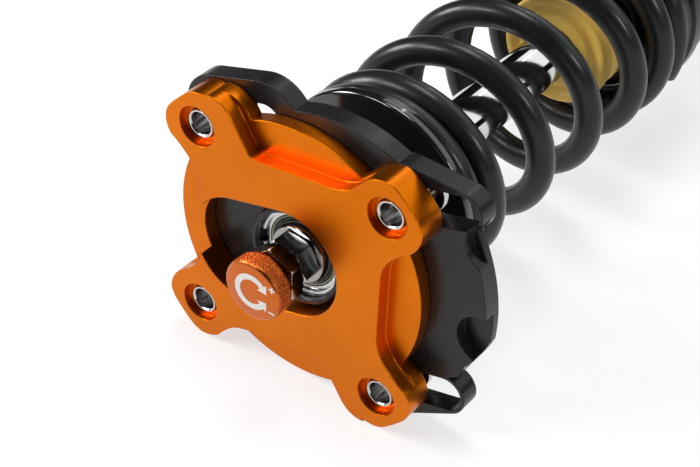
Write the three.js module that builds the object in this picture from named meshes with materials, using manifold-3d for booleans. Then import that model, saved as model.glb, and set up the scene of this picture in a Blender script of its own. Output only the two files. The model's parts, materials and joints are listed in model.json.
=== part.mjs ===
// A front strut coilover lying on its side, with a camber-adjustable top mount.
//
// Every piece is drawn in the strut's own frame: z runs along the strut's axis towards the knob and is
// zero on the top plate's outer face, x points right and y up as seen from the knob. The last group turns
// that frame so that the strut lies along +Y with the knob at the -Y end, resting on z = 0.
import * as THREE from "three";
import { mergeVertices } from "three/addons/utils/BufferGeometryUtils.js";
import Module from "manifold-3d";

const wasm = await Module();
wasm.setup();

// ---------------------------------------------------------------- driving dimensions, in millimetres
const GAP = 0.3; // between pieces that touch
const FINE = 32; // facets round a large turned piece
const COARSE = 20; // facets round a small or inner one

const PLATE_T = 12; // top plate
const LEDGE_T = 6; // its relieved ledges
const RIM_R = 55.4;
const LOBE_R = 15.4;
const LOBE_TRIM_R = 72.2;
const BOLT_X = 42.5; // half the bolt spacing
const BOLT_Y = 42;
const RECESS_R = 8.35;
const RECESS_DEPTH = 3.4;
const BUSH_R = 5.75;
const BUSH_BORE_R = 4.5;
const BUSH_SINK = 2;
const BUSH_FLANGE_R = 9.6;

const SLOT_R = 22.6; // opening for the bearing housing
const CAMBER = new THREE.Vector2(-22, -5.5); // travel of the bearing plate across the top plate

const LOWER_T = 8.2; // bearing plate
const LOWER_Z = -PLATE_T - GAP;
const LOWER_BACK = LOWER_Z - LOWER_T;
const LOWER_SLOT_R = 7.1;
const NOTCH_R = 10.5; // index notches in its rim
const NOTCHES = [[77.5, 37.3], [77.5, -3.5]];
const HOUSING_R = 21;

const BALL_R = 15; // spherical bearing
const BALL_Z = -15.4;
const BALL_HALF = 9.4;
const LINER_R = 16;
const LINER_HALF = 6;
const RACE_R = 18.3;
const RACE_HALF = 6.1;

const ROD_R = 11;
const STUD_R = 7;
const JOURNAL_R = 8;
const ROD_BORE_R = 3.2;
const SHOULDER_Z = -60;
const ROD_END_Z = -298;
const PISTON_TOP = -265.2;
const PISTON_FOOT = -285.2;
const SHIMS = 4;
const SHIM_T = 0.7;

const WIRE_R = 6; // spring
const COIL_R = 38.5;
const SPRING_TOP = -56.7;
const SPRING_FOOT = -223.5;
const SPRING_PITCH = 37;
const CLOSED_PITCH = 12.4;
const SPRING_TURNS = 6.5;
const SPRING_TIP = 158; // degrees round the axis from +x

const TUBE_R = 26; // damper body
const BORE_R = 22;
const TUBE_TOP = -212.3;
const TUBE_FOOT = -450;
const SEAT_R = 41.5;

const EAR_X = 20; // inner face of a bracket ear
const EAR_T = 6;
const EAR_TOP_Z = -352;
const EAR_FOOT_Z = -446;
const KNUCKLE_BOLT_R = 7.1;
const KNUCKLE_BOLT_Y = -47;
const KNUCKLE_BOLTS_Z = [-371, -427];

const AXIS_HEIGHT = 58; // strut axis above the surface it lies on
const KNOB_FACE = 20.8;
const KNOB_BACK = 12.8;
const KNOB_R = 12.75;
const SHAFT_R = 2.6;
const NEEDLE_Z = -235.3;
const SCREW_ANGLE = -30; // degrees round the axis from +x
const SCREW_Z = 16.8;

// ---------------------------------------------------------------- finishes
const finish = (color, roughness, metalness) => ({ color, roughness, metalness });
const FINISHES = {
  orange: finish(0xd6780f, 0.38, 0.75),
  red: finish(0xb24a1e, 0.35, 0.75),
  black: finish(0x2b2b2e, 0.45, 0.6),
  gloss: finish(0x101012, 0.15, 0.4),
  spring: finish(0x55555a, 0.35, 0.7),
  steel: finish(0x9a9a9c, 0.25, 1),
  chrome: finish(0xc8ccd0, 0.08, 1),
  liner: finish(0xb4bca0, 0.6, 0),
  foam: finish(0xc39a4e, 0.8, 0),
  rubber: finish(0x18181a, 0.8, 0),
  bronze: finish(0x9a6a35, 0.4, 0.9),
};

// ---------------------------------------------------------------- solids
// A closed triangle mesh as a manifold solid, with its faces turned outwards.
function solid(geometry) {
  const bare = geometry.clone();
  bare.deleteAttribute("normal");
  bare.deleteAttribute("uv");
  const merged = mergeVertices(bare, 1e-4);
  const place = merged.getAttribute("position");
  const corner = (i) => new THREE.Vector3().fromBufferAttribute(place, i);
  const faces = [];
  let volume = 0;
  for (let i = 0; i < merged.index.count; i += 3) {
    const [a, b, c] = [0, 1, 2].map((k) => merged.index.getX(i + k));
    if (a === b || b === c || a === c) continue;
    faces.push([a, b, c]);
    volume += corner(a).dot(corner(b).cross(corner(c)));
  }
  if (volume < 0) faces.forEach((face) => face.reverse());
  const triVerts = new Uint32Array(faces.flat());
  return new wasm.Manifold(new wasm.Mesh({ numProp: 3, vertProperties: place.array, triVerts }));
}

function geometryOf(made) {
  const mesh = made.getMesh();
  const geometry = new THREE.BufferGeometry();
  geometry.setAttribute("position", new THREE.BufferAttribute(mesh.vertProperties, 3));
  geometry.setIndex(new THREE.BufferAttribute(mesh.triVerts, 1));
  geometry.computeVertexNormals();
  return geometry;
}

const join = (first, ...rest) => rest.reduce((all, one) => all.add(one), first);
const cut = (first, ...rest) => rest.reduce((all, one) => all.subtract(one), first);

// A solid turned about the z axis from [radius, z] points; the outline closes on itself.
function turned(outline, facets = COARSE) {
  const points = [...outline, outline[0]].map(([r, z]) => new THREE.Vector2(r, z));
  return solid(new THREE.LatheGeometry(points, facets).rotateX(Math.PI / 2));
}

const disc = (r, z0, z1, facets = COARSE) => turned([[0, z0], [r, z0], [r, z1], [0, z1]], facets);
const ring = (inner, outer, z0, z1, facets = COARSE) =>
  turned([[inner, z0], [outer, z0], [outer, z1], [inner, z1]], facets);
const at = (made, x, y, z = 0) => made.translate([x, y, z]);

function block(x0, x1, y0, y1, z0, z1) {
  const box = new THREE.BoxGeometry(x1 - x0, y1 - y0, z1 - z0);
  return solid(box.translate((x0 + x1) / 2, (y0 + y1) / 2, (z0 + z1) / 2));
}

// A flat outline raised from z0 to z1.
function prism(shape, z0, z1, facets = 8) {
  const settings = { depth: z1 - z0, bevelEnabled: false, curveSegments: facets };
  const raised = new THREE.ExtrudeGeometry(shape, settings);
  return solid(raised.translate(0, 0, z0));
}

// The outline round two circles, as a belt round two pulleys.
function belt(x0, y0, r0, x1, y1, r1) {
  const along = Math.atan2(y1 - y0, x1 - x0);
  const lean = Math.acos((r0 - r1) / Math.hypot(x1 - x0, y1 - y0));
  const shape = new THREE.Shape();
  shape.absarc(x0, y0, r0, along + lean, along - lean + 2 * Math.PI, false);
  shape.absarc(x1, y1, r1, along - lean, along + lean, false);
  shape.closePath();
  return shape;
}

// A hexagonal prism with its two ends chamfered, given its width across flats.
function hexagon(width, z0, z1, turn = 0) {
  const corner = width / Math.sqrt(3);
  const prismed = turned([[0, z0], [corner, z0], [corner, z1], [0, z1]], 6).rotate([0, 0, turn]);
  const lip = (corner - width / 2) * 0.6;
  const dome = turned(
    [[0, z0], [width / 2, z0], [corner, z0 + lip], [corner, z1 - lip], [width / 2, z1], [0, z1]],
    COARSE,
  );
  return prismed.intersect(dome);
}

const repeat = (count, make) => Array.from({ length: count }, (_, i) => make((i * 360) / count));

// ---------------------------------------------------------------- assembly
const strut = new THREE.Group();

function piece(name, made, look) {
  const mesh = new THREE.Mesh(geometryOf(made), new THREE.MeshStandardMaterial(FINISHES[look]));
  mesh.name = name;
  strut.add(mesh);
}

const CORNERS = [
  [-BOLT_X, BOLT_Y],
  [BOLT_X, BOLT_Y],
  [-BOLT_X, -BOLT_Y],
  [BOLT_X, -BOLT_Y],
];

// ---------------------------------------------------------------- top plate
function reliefTop() {
  const shape = new THREE.Shape();
  shape.moveTo(-44, 62);
  shape.lineTo(-36, 58.2);
  shape.quadraticCurveTo(-29.5, 57.5, -26.5, 52.5);
  shape.lineTo(-19.6, 42);
  shape.quadraticCurveTo(-18, 39, -14.5, 39.3);
  shape.lineTo(11, 42.7);
  shape.quadraticCurveTo(21, 42.8, 26.5, 46.5);
  shape.quadraticCurveTo(32, 50.5, 38, 61);
  shape.closePath();
  return shape;
}

function reliefSide() {
  const shape = new THREE.Shape();
  shape.moveTo(62, 36);
  shape.lineTo(53, 31.2);
  shape.quadraticCurveTo(41.2, 23.5, 41.2, 14);
  shape.lineTo(41, -14);
  shape.quadraticCurveTo(41, -22.5, 52, -31.2);
  shape.lineTo(62, -38);
  shape.closePath();
  return shape;
}

function topPlate() {
  const [w, h, r] = [BOLT_X, BOLT_Y, LOBE_R];
  const lobes = [
    belt(-w, h, r, -w + 8.5, h + 2.6, r - 2),
    belt(w, h, r - 0.4, 20, 20, r),
    belt(-w, -h, r - 0.4, -20, -20, r),
    belt(w, -h, r, w - 8.5, -h - 2.6, r - 2),
  ].map((shape) => prism(shape, -PLATE_T, 0));
  let plate = join(disc(RIM_R, -PLATE_T, 0, FINE), ...lobes);
  plate = plate.intersect(disc(LOBE_TRIM_R, -PLATE_T, 0, 72));
  const reliefs = [reliefTop(), reliefSide()].flatMap((shape) => {
    const pocket = prism(shape, -PLATE_T + LEDGE_T, 1, 6);
    return [pocket, pocket.rotate([0, 0, 180])];
  });
  const slot = prism(belt(CAMBER.x, CAMBER.y, SLOT_R, 0, 0, SLOT_R + 0.01), -PLATE_T - 1, 1, 12);
  const holes = CORNERS.flatMap(([x, y]) => [
    at(disc(RECESS_R, -RECESS_DEPTH, 1, 20), x, y),
    at(disc(BUSH_R + GAP, -PLATE_T - 1, 1, 20), x, y),
  ]);
  return cut(plate, ...reliefs, slot, ...holes);
}

piece("top_plate", topPlate(), "orange");

// Each clamp bush is pressed into the top plate and its flange holds the bearing plate from behind.
function clampBush() {
  const foot = LOWER_BACK - GAP;
  return turned([
    [BUSH_BORE_R, -BUSH_SINK],
    [BUSH_R, -BUSH_SINK],
    [BUSH_R, foot],
    [BUSH_FLANGE_R, foot],
    [BUSH_FLANGE_R, foot - 3],
    [BUSH_BORE_R, foot - 3],
  ], 16);
}

CORNERS.forEach(([x, y], i) => piece(`clamp_bush_${i + 1}`, at(clampBush(), x, y), "steel"));

// ---------------------------------------------------------------- bearing plate
// The rim below the lower index notch, running smoothly into the lower ear.
function hip() {
  const shape = new THREE.Shape();
  shape.moveTo(60, 0);
  shape.lineTo(78.4, -6);
  shape.quadraticCurveTo(76.6, -13.5, 71.2, -19.5);
  shape.lineTo(69.4, -25);
  shape.lineTo(60, -31);
  shape.closePath();
  return shape;
}

function bearingPlate() {
  const slotEnd = ([x, y]) => [x - CAMBER.x, y - CAMBER.y];
  const ears = CORNERS.map(([x, y]) => {
    const [ex, ey] = slotEnd([x, y]);
    const outer = x > 0 ? 8.6 : 16.2;
    return prism(belt(x, y, 14.9, ex, ey, outer), LOWER_BACK, LOWER_Z);
  });
  const round = at(disc(59.6, LOWER_BACK, LOWER_Z, FINE), 13, 1.8);
  const side = disc(78.7, LOWER_BACK, LOWER_Z, 72).intersect(block(30, 90, -7, 40, -40, 10));
  const boss = turned([
    [0, LOWER_BACK - 3.4], [HOUSING_R, LOWER_BACK - 3.4], [HOUSING_R, -5.5], [HOUSING_R - 1, -4.5], [0, -4.5],
  ], FINE);
  const slots = CORNERS.map(([x, y]) => {
    const [ex, ey] = slotEnd([x, y]);
    return prism(belt(x, y, LOWER_SLOT_R, ex, ey, LOWER_SLOT_R + 0.01), -40, 10);
  });
  const notches = NOTCHES.map(([x, y]) => at(disc(NOTCH_R, LOWER_Z - 5, 10), x, y));
  const bore = turned([
    [0, 10], [RACE_R + 0.3, 10],
    [RACE_R + 0.3, -7.4], [RACE_R + 1.3, -7.4], [RACE_R + 1.3, -9], [RACE_R + 0.3, -9],
    [RACE_R + 0.3, BALL_Z - RACE_HALF - GAP], [RACE_R - 1.4, BALL_Z - RACE_HALF - GAP],
    [RACE_R - 1.4, -40], [0, -40],
  ], FINE);
  const rim = prism(hip(), LOWER_BACK, LOWER_Z);
  return cut(join(round, side, rim, boss, ...ears), ...slots, ...notches, bore);
}

piece("bearing_plate", bearingPlate(), "black");

// A point of a spherical band: its radius at height z above the ball's centre.
const bandRadius = (sphere, z) => Math.sqrt(sphere * sphere - z * z);

// The outline of a spherical surface from one height to another, as [radius, z] points.
function sphereArc(sphere, from, to, steps = 4) {
  return Array.from({ length: steps + 1 }, (_, i) => {
    const z = from + ((to - from) * i) / steps;
    return [bandRadius(sphere, z), BALL_Z + z];
  });
}

const race = [
  [RACE_R, BALL_Z + RACE_HALF],
  ...sphereArc(LINER_R + GAP, RACE_HALF, -RACE_HALF),
  [RACE_R, BALL_Z - RACE_HALF],
];
const liner = [
  ...sphereArc(LINER_R, LINER_HALF, -LINER_HALF),
  ...sphereArc(BALL_R + GAP, -LINER_HALF, LINER_HALF),
];
const ball = [
  [JOURNAL_R + GAP, BALL_Z + BALL_HALF],
  ...sphereArc(BALL_R, BALL_HALF, -BALL_HALF),
  [JOURNAL_R + GAP, BALL_Z - BALL_HALF],
];
piece("bearing_race", turned(race, FINE), "steel");
piece("bearing_liner", turned(liner, FINE), "liner");
piece("bearing_ball", turned(ball, FINE), "chrome");
piece(
  "retaining_ring",
  cut(ring(RACE_R - 1.6, RACE_R + 1.1, -8.85, -7.55, FINE), block(-30, 0, -3, 3, -12, 0)),
  "steel",
);

// ---------------------------------------------------------------- rod, its fastening and the perch
piece(
  "piston_rod",
  turned([
    [ROD_BORE_R, 12.3], [STUD_R, 12.3], [STUD_R, 3.35], [JOURNAL_R, 3.35], [JOURNAL_R, SHOULDER_Z],
    [ROD_R, SHOULDER_Z], [ROD_R, -261.7], [STUD_R, -261.7], [STUD_R, ROD_END_Z], [ROD_BORE_R, ROD_END_Z],
  ]),
  "chrome",
);
piece("top_nut", cut(hexagon(21, 3.7, 10.6, 5), disc(STUD_R + GAP, 0, 20)), "steel");
piece("upper_collar", cut(hexagon(19, -5.7, 3.4, 25), disc(JOURNAL_R + GAP, -10, 10)), "steel");
piece("lower_spacer", ring(JOURNAL_R + GAP, 11.6, -33, BALL_Z - BALL_HALF - GAP), "steel");

piece(
  "upper_perch",
  turned([
    [JOURNAL_R + GAP, -33.3], [14.5, -33.3], [16, -34.5], [18, -41], [24, -46.5], [34, -50.4],
    [41.5, -52.2], [44.5, -52.8], [44.5, SPRING_TOP + GAP],
    [31.3, SPRING_TOP + GAP], [31.3, -66], [27.5, -67], [27.5, -60], [15.5, -56], [15.5, SHOULDER_Z + GAP],
    [JOURNAL_R + GAP, SHOULDER_Z + GAP],
  ], FINE),
  "gloss",
);
piece("bump_striker", turned([
  [ROD_R + GAP, -60.3], [19, -60.3], [21, -62], [21, -88], [19, -90], [ROD_R + GAP, -90],
]), "gloss");

// ---------------------------------------------------------------- spring
// The wire's centre line: closed at both ends and evenly pitched between.
function springPath() {
  const steps = 104;
  const ease = (value) => THREE.MathUtils.smoothstep(value, 0, 1);
  const opening = (turn) => ease((turn - 1) / 0.7) * (1 - ease((turn - 4.57) / 0.6));
  const points = [];
  let z = SPRING_TOP;
  for (let i = 0; i <= steps; i += 1) {
    const turn = (SPRING_TURNS * i) / steps;
    const angle = THREE.MathUtils.degToRad(SPRING_TIP - 360 * turn);
    points.push(new THREE.Vector3(COIL_R * Math.cos(angle), COIL_R * Math.sin(angle), z));
    const pitch = CLOSED_PITCH + (SPRING_PITCH - CLOSED_PITCH) * opening(turn);
    z -= (pitch * SPRING_TURNS) / steps;
  }
  return points;
}

// A round wire swept along points by its own loop of facets, closed at both ends.
function wire(points, radius, facets) {
  const curve = new THREE.CatmullRomCurve3(points);
  const section = new THREE.Shape();
  section.absarc(0, 0, radius, 0, 2 * Math.PI, false);
  const swept = new THREE.ExtrudeGeometry(section, {
    steps: points.length - 1,
    curveSegments: facets,
    bevelEnabled: false,
    extrudePath: curve,
  });
  return solid(swept);
}

function spring() {
  const coil = wire(springPath(), WIRE_R, 4);
  return coil.intersect(disc(60, SPRING_FOOT, SPRING_TOP));
}

piece("spring", spring(), "spring");

// ---------------------------------------------------------------- adjuster
// A small round bar lying across the knob, from one radius to another.
const radial = (r, from, to) =>
  disc(r, from, to, 12).rotate([0, 90, 0]).rotate([0, 0, SCREW_ANGLE]).translate([0, 0, SCREW_Z]);

function knob() {
  const body = turned([
    [0, KNOB_BACK], [KNOB_R - 0.6, KNOB_BACK], [KNOB_R, KNOB_BACK + 0.6],
    [KNOB_R, KNOB_FACE - 1.2], [KNOB_R - 1.2, KNOB_FACE], [0, KNOB_FACE],
  ], FINE);
  return cut(body, disc(SHAFT_R + GAP, 10, 19, 16), radial(1.8, 1, 20));
}

piece("rebound_knob", knob(), "red");
piece("knob_set_screw", radial(1.5, SHAFT_R + GAP, KNOB_R - 0.6), "black");
const needle = [[0, NEEDLE_Z], [SHAFT_R, NEEDLE_Z], [SHAFT_R, -288], [0.6, -296], [0, -296]];
piece("adjuster_shaft", disc(SHAFT_R, NEEDLE_Z + GAP, 18.7, 16), "steel");
piece("metering_needle", turned(needle, 16), "bronze");

// ---------------------------------------------------------------- damper internals on the rod
piece("rebound_stop", turned([
  [ROD_R + GAP, -244], [19.5, -244], [20.5, -246], [20.5, -255], [ROD_R + GAP, -255],
]), "rubber");

// A pyramid of shims that starts against the piston at z and steps away from it.
function shims(z, way) {
  const steps = Array.from({ length: SHIMS }, (_, i) => [
    [16 - 2 * i, z + way * SHIM_T * i],
    [16 - 2 * i, z + way * SHIM_T * (i + 1)],
  ]);
  return turned([...steps.flat(), [STUD_R + GAP, z + way * SHIM_T * SHIMS], [STUD_R + GAP, z]]);
}

piece("rebound_shims", shims(PISTON_TOP + GAP, 1), "steel");
piece("compression_shims", shims(PISTON_FOOT - GAP, -1), "steel");

function piston() {
  const body = turned([
    [STUD_R + GAP, PISTON_TOP], [20, PISTON_TOP], [21.4, PISTON_TOP - 1.4], [21.4, -271], [20.2, -271],
    [20.2, -279.4], [21.4, -279.4], [21.4, PISTON_FOOT + 1.4], [20, PISTON_FOOT], [STUD_R + GAP, PISTON_FOOT],
  ]);
  return cut(body, ...repeat(6, (turn) => at(disc(2, -300, -250, 10), 12, 0).rotate([0, 0, turn])));
}

piece("piston", piston(), "bronze");
piece("piston_band", ring(20.5, 21.7, -279.1, -271.3), "rubber");
piece("piston_nut", cut(hexagon(19, -296.6, -288.6), disc(STUD_R + GAP, -310, -280)), "steel");

// ---------------------------------------------------------------- damper body
piece("bump_stop", turned([
  [ROD_R + GAP, -185.6], [16.5, -186], [18.5, -188], [20.5, -188], [22, -186.2], [24.4, -186.2],
  [25.6, -187.6], [25.6, -191], [23.2, -194.5], [23.2, -197], [24.6, -199.4], [24.6, -203], [ROD_R + GAP, -203],
], FINE), "foam");
piece("gland_nut", turned([
  [ROD_R + GAP, -203.3], [22, -203.3], [25, -206], [25, -212], [BORE_R - GAP, -212],
  [BORE_R - GAP, -220], [15, -220], [15, -214.5], [ROD_R + GAP, -214.5],
], FINE), "black");
piece("rod_seal", ring(ROD_R + GAP, 14.7, -219.8, -214.8), "rubber");
piece("rod_guide", ring(ROD_R + GAP, BORE_R - GAP, -243, -220.3), "bronze");
piece("body_tube", ring(BORE_R, TUBE_R, TUBE_FOOT, TUBE_TOP, FINE), "black");
piece("gas_piston", turned([
  [0, -396], [20, -396], [21.7, -397.5], [21.7, -402], [19.6, -402],
  [19.6, -406], [21.7, -406], [21.7, -410.5], [20, -412], [0, -412],
]), "bronze");
piece("gas_piston_seal", ring(19.9, 21.7, -405.7, -402.3), "rubber");

function footPlug() {
  const plug = disc(BORE_R - GAP, TUBE_FOOT, -438);
  return cut(plug, disc(4, TUBE_FOOT - 1, -443, 16));
}

piece("foot_plug", footPlug(), "steel");

const valveBody = disc(3.7, TUBE_FOOT + 0.5, -443.3, 16);
piece("gas_valve", cut(valveBody, hexagon(3, TUBE_FOOT - 1, TUBE_FOOT + 3)), "bronze");

// ---------------------------------------------------------------- spring seat and its rings
piece("lower_seat", turned([
  [TUBE_R + 0.6, -216], [30.5, -216], [32, -218], [32, SPRING_FOOT - GAP], [SEAT_R - 1, SPRING_FOOT - GAP],
  [SEAT_R, SPRING_FOOT - 1.3], [SEAT_R, -243], [SEAT_R - 1, -244], [TUBE_R + 0.6, -244],
], FINE), "black");

// A threaded ring with slots round its rim for a hook spanner.
function spannerRing(radius, z0, z1, slots) {
  const body = turned([
    [TUBE_R + GAP, z0], [radius - 1.2, z0], [radius, z0 + 1.2],
    [radius, z1 - 1.2], [radius - 1.2, z1], [TUBE_R + GAP, z1],
  ], FINE);
  const notch = () => block(radius - 3.2, radius + 3, -3.2, 3.2, z0 - 1, z1 + 1);
  return cut(body, ...repeat(slots, (turn) => notch().rotate([0, 0, turn])));
}

piece("seat_ring", spannerRing(39, -257, -244.3, 6), "black");
piece("seat_lock_ring", spannerRing(38, -267, -257.3, 6), "orange");
piece("bracket_lock_ring", spannerRing(37, -349.7, -338, 6), "orange");

// ---------------------------------------------------------------- knuckle bracket
function knuckleBracket() {
  const socket = turned([
    [TUBE_R + GAP, -350], [32.4, -350], [33.6, -351.2], [33.6, -448], [32.4, -449.2], [TUBE_R + GAP, -449.2],
  ], FINE);
  const ear = (side) => {
    const [x0, x1] = side > 0 ? [EAR_X, EAR_X + EAR_T] : [-EAR_X - EAR_T, -EAR_X];
    const outline = new THREE.Shape();
    outline.moveTo(-8, EAR_TOP_Z);
    outline.lineTo(-30, EAR_TOP_Z);
    outline.lineTo(-AXIS_HEIGHT, EAR_TOP_Z - 14);
    outline.lineTo(-AXIS_HEIGHT, EAR_FOOT_Z + 8);
    outline.lineTo(-AXIS_HEIGHT + 8, EAR_FOOT_Z);
    outline.lineTo(-8, EAR_FOOT_Z);
    outline.closePath();
    const raised = new THREE.ExtrudeGeometry(outline, { depth: x1 - x0, bevelEnabled: false });
    const basis = new THREE.Matrix4().makeBasis(
      new THREE.Vector3(0, 1, 0), new THREE.Vector3(0, 0, 1), new THREE.Vector3(1, 0, 0),
    );
    return solid(raised.applyMatrix4(basis).translate(x0, 0, 0));
  };
  const web = block(-EAR_X - 1, EAR_X + 1, -33, -27.5, EAR_FOOT_Z, EAR_TOP_Z);
  const bolts = KNUCKLE_BOLTS_Z.map((z) =>
    disc(KNUCKLE_BOLT_R, -60, 60, 24).rotate([0, 90, 0]).translate([0, KNUCKLE_BOLT_Y, z]),
  );
  const inner = disc(TUBE_R + GAP, -470, -340, FINE);
  return cut(join(socket, ear(1), ear(-1), web), inner, ...bolts);
}

piece("knuckle_bracket", knuckleBracket(), "black");

// ---------------------------------------------------------------- laid down on its side
strut.rotation.x = Math.PI / 2;
const extent = new THREE.Box3().setFromObject(strut, true);
const middle = extent.getCenter(new THREE.Vector3());
strut.position.set(-middle.x, -middle.y, AXIS_HEIGHT);

const coilover = new THREE.Group();
coilover.add(strut);

export default coilover;
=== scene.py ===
"""The coilover's looks: fine meshes, materials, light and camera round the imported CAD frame.

Shapes are drawn in the strut's own frame, in millimetres: z along the strut's axis towards the knob and
zero on the top plate's outer face, x right and y up as seen from the knob. STRUT turns them into the
frame's own, in metres.
"""
import functools
import json
import math

import bmesh
import bpy
from mathutils import Matrix, Vector


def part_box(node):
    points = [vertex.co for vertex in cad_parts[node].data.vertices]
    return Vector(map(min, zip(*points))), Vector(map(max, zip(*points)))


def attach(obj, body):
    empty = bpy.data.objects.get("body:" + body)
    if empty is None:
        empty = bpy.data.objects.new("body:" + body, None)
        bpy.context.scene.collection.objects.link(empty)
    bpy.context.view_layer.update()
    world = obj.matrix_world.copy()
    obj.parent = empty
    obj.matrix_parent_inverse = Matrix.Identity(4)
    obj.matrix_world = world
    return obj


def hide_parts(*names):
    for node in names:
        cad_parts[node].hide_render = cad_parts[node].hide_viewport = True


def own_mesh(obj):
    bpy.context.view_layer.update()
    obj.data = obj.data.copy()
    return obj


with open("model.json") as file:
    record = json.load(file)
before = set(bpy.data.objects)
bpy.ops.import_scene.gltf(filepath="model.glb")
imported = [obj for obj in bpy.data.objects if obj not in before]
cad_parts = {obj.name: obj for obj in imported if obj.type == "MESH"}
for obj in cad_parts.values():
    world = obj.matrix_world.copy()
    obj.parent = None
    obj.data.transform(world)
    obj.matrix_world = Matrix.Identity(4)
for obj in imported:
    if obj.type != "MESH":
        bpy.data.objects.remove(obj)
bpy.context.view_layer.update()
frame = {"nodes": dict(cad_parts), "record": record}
MM = 0.001

# ---------------------------------------------------------------- where the strut lies
rod_low, rod_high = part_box("piston_rod")
AXIS_X = (rod_low.x + rod_high.x) / 2
AXIS_Z = (rod_low.z + rod_high.z) / 2
FACE_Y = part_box("top_plate")[0].y
STRUT = (Matrix.Translation((AXIS_X, FACE_Y, AXIS_Z)) @ Matrix.Rotation(math.pi / 2, 4, "X")
         @ Matrix.Scale(MM, 4))

# ---------------------------------------------------------------- sizes, in millimetres
GAP = 0.3
PLATE_T, LEDGE_T = 12, 6
RIM_R, LOBE_R, LOBE_TRIM_R = 55.4, 15.4, 72.2
BOLT_X, BOLT_Y = 42.5, 42
CORNERS = [(-BOLT_X, BOLT_Y), (BOLT_X, BOLT_Y), (-BOLT_X, -BOLT_Y), (BOLT_X, -BOLT_Y)]
RECESS_R, RECESS_DEPTH = 8.35, 3.4
BUSH_R, BUSH_BORE_R, BUSH_SINK, BUSH_FLANGE_R = 5.75, 4.5, 2, 9.6
SLOT_R = 22.6
CAMBER = (-22, -5.5)
LOWER_Z, LOWER_BACK = -12.3, -20.5
HOUSING_R = 21
BALL_R, BALL_Z, BALL_HALF = 15, -15.4, 9.4
LINER_R, RACE_R, RACE_HALF = 16, 18.3, 6.1
ROD_R, STUD_R, JOURNAL_R, ROD_BORE_R = 11, 7, 8, 3.2
SHOULDER_Z = -60
WIRE_R, COIL_R = 6, 38.5
SPRING_TOP, SPRING_FOOT = -56.7, -223.5
SPRING_PITCH, CLOSED_PITCH, SPRING_TURNS, SPRING_TIP = 37, 12.4, 6.5, 158
TUBE_R, BORE_R, TUBE_TOP, TUBE_FOOT = 26, 22, -212.3, -450
SEAT_R = 41.5
EAR_X, EAR_T, EAR_TOP_Z, EAR_FOOT_Z = 20, 6, -352, -446
KNUCKLE_BOLT_R, KNUCKLE_BOLT_Y, KNUCKLE_BOLTS_Z = 7.1, -47, (-371, -427)
AXIS_HEIGHT = 58
KNOB_R, KNOB_BACK, KNOB_FACE, SHAFT_R = 12.75, 12.8, 20.8, 2.6
KNURL_DIAMONDS, KNURL_HEIGHT, KNURL_DEPTH = 60, 1.35, 0.55
SCREW_ANGLE, SCREW_Z, SCREW_SOCKET_R = -30, 16.8, 0.75
THREAD_PITCH, THREAD_DEPTH, THREAD_END = 2, 0.55, -352


# ---------------------------------------------------------------- mesh making
def evaluated(piece):
    """A new mesh of the piece with its modifiers applied."""
    bpy.context.view_layer.update()
    return bpy.data.meshes.new_from_object(piece.evaluated_get(bpy.context.evaluated_depsgraph_get()))


def finished(name, bm, sharp=32, flat=False):
    """A new object from a bmesh in the strut's frame, smooth but for edges past an angle.

    flat weights the smooth normals by face area, so that large flats look flat.
    """
    bmesh.ops.remove_doubles(bm, verts=bm.verts, dist=1e-4)
    bmesh.ops.recalc_face_normals(bm, faces=bm.faces)
    bm.transform(STRUT)
    mesh = bpy.data.meshes.new(name)
    bm.to_mesh(mesh)
    bm.free()
    mesh.polygons.foreach_set("use_smooth", [True] * len(mesh.polygons))
    mesh.set_sharp_from_angle(angle=math.radians(sharp))
    piece = bpy.data.objects.new(name, mesh)
    bpy.context.scene.collection.objects.link(piece)
    if flat:
        shade = piece.modifiers.new("shade", "WEIGHTED_NORMAL")
        shade.keep_sharp = True
        piece.data = evaluated(piece)
        piece.data.name = name
        piece.modifiers.clear()
    return piece


def rounded(corners, radius, steps=4):
    """A closed outline with its corners rounded. A corner may carry its own radius as a third number."""
    made = []
    for i, corner in enumerate(corners):
        here = Vector(corner[:2])
        before = Vector(corners[i - 1][:2]) - here
        after = Vector(corners[(i + 1) % len(corners)][:2]) - here
        size = corner[2] if len(corner) > 2 else radius
        half = before.angle(after) / 2 if before.length and after.length else math.pi / 2
        reach = min(size / math.tan(half) if half > 0.01 else 0, before.length * 0.48, after.length * 0.48)
        if here.x < 1e-6 or reach < 0.01 or half > 1.5:
            made.append((here.x, here.y))
            continue
        start, end = here + before.normalized() * reach, here + after.normalized() * reach
        for k in range(steps + 1):
            t = k / steps
            point = start * (1 - t) ** 2 + here * 2 * t * (1 - t) + end * t * t
            made.append((point.x, point.y))
    return made


def revolve(rows, facets, radius_of=None):
    """A bmesh turned about z from a closed outline of (radius, z).

    radius_of(radius, z, angle) may shape it further.
    """
    bm = bmesh.new()
    rings = []
    for r, z in rows:
        if r < 1e-6:
            rings.append([bm.verts.new((0, 0, z))] * facets)
            continue
        ring = []
        for k in range(facets):
            angle = 2 * math.pi * k / facets
            here = radius_of(r, z, angle) if radius_of else r
            ring.append(bm.verts.new((here * math.cos(angle), here * math.sin(angle), z)))
        rings.append(ring)
    for i, ring in enumerate(rings):
        following = rings[(i + 1) % len(rings)]
        for k in range(facets):
            n = (k + 1) % facets
            corners = list(dict.fromkeys((ring[k], ring[n], following[n], following[k])))
            if len(corners) > 2:
                bm.faces.new(corners)
    bmesh.ops.recalc_face_normals(bm, faces=bm.faces)
    return bm


def turned(name, corners, radius=0.4, facets=96, steps=4):
    """A turned piece from its section's corners, rounded by a radius."""
    return finished(name, revolve(rounded(corners, radius, steps), facets))


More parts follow.
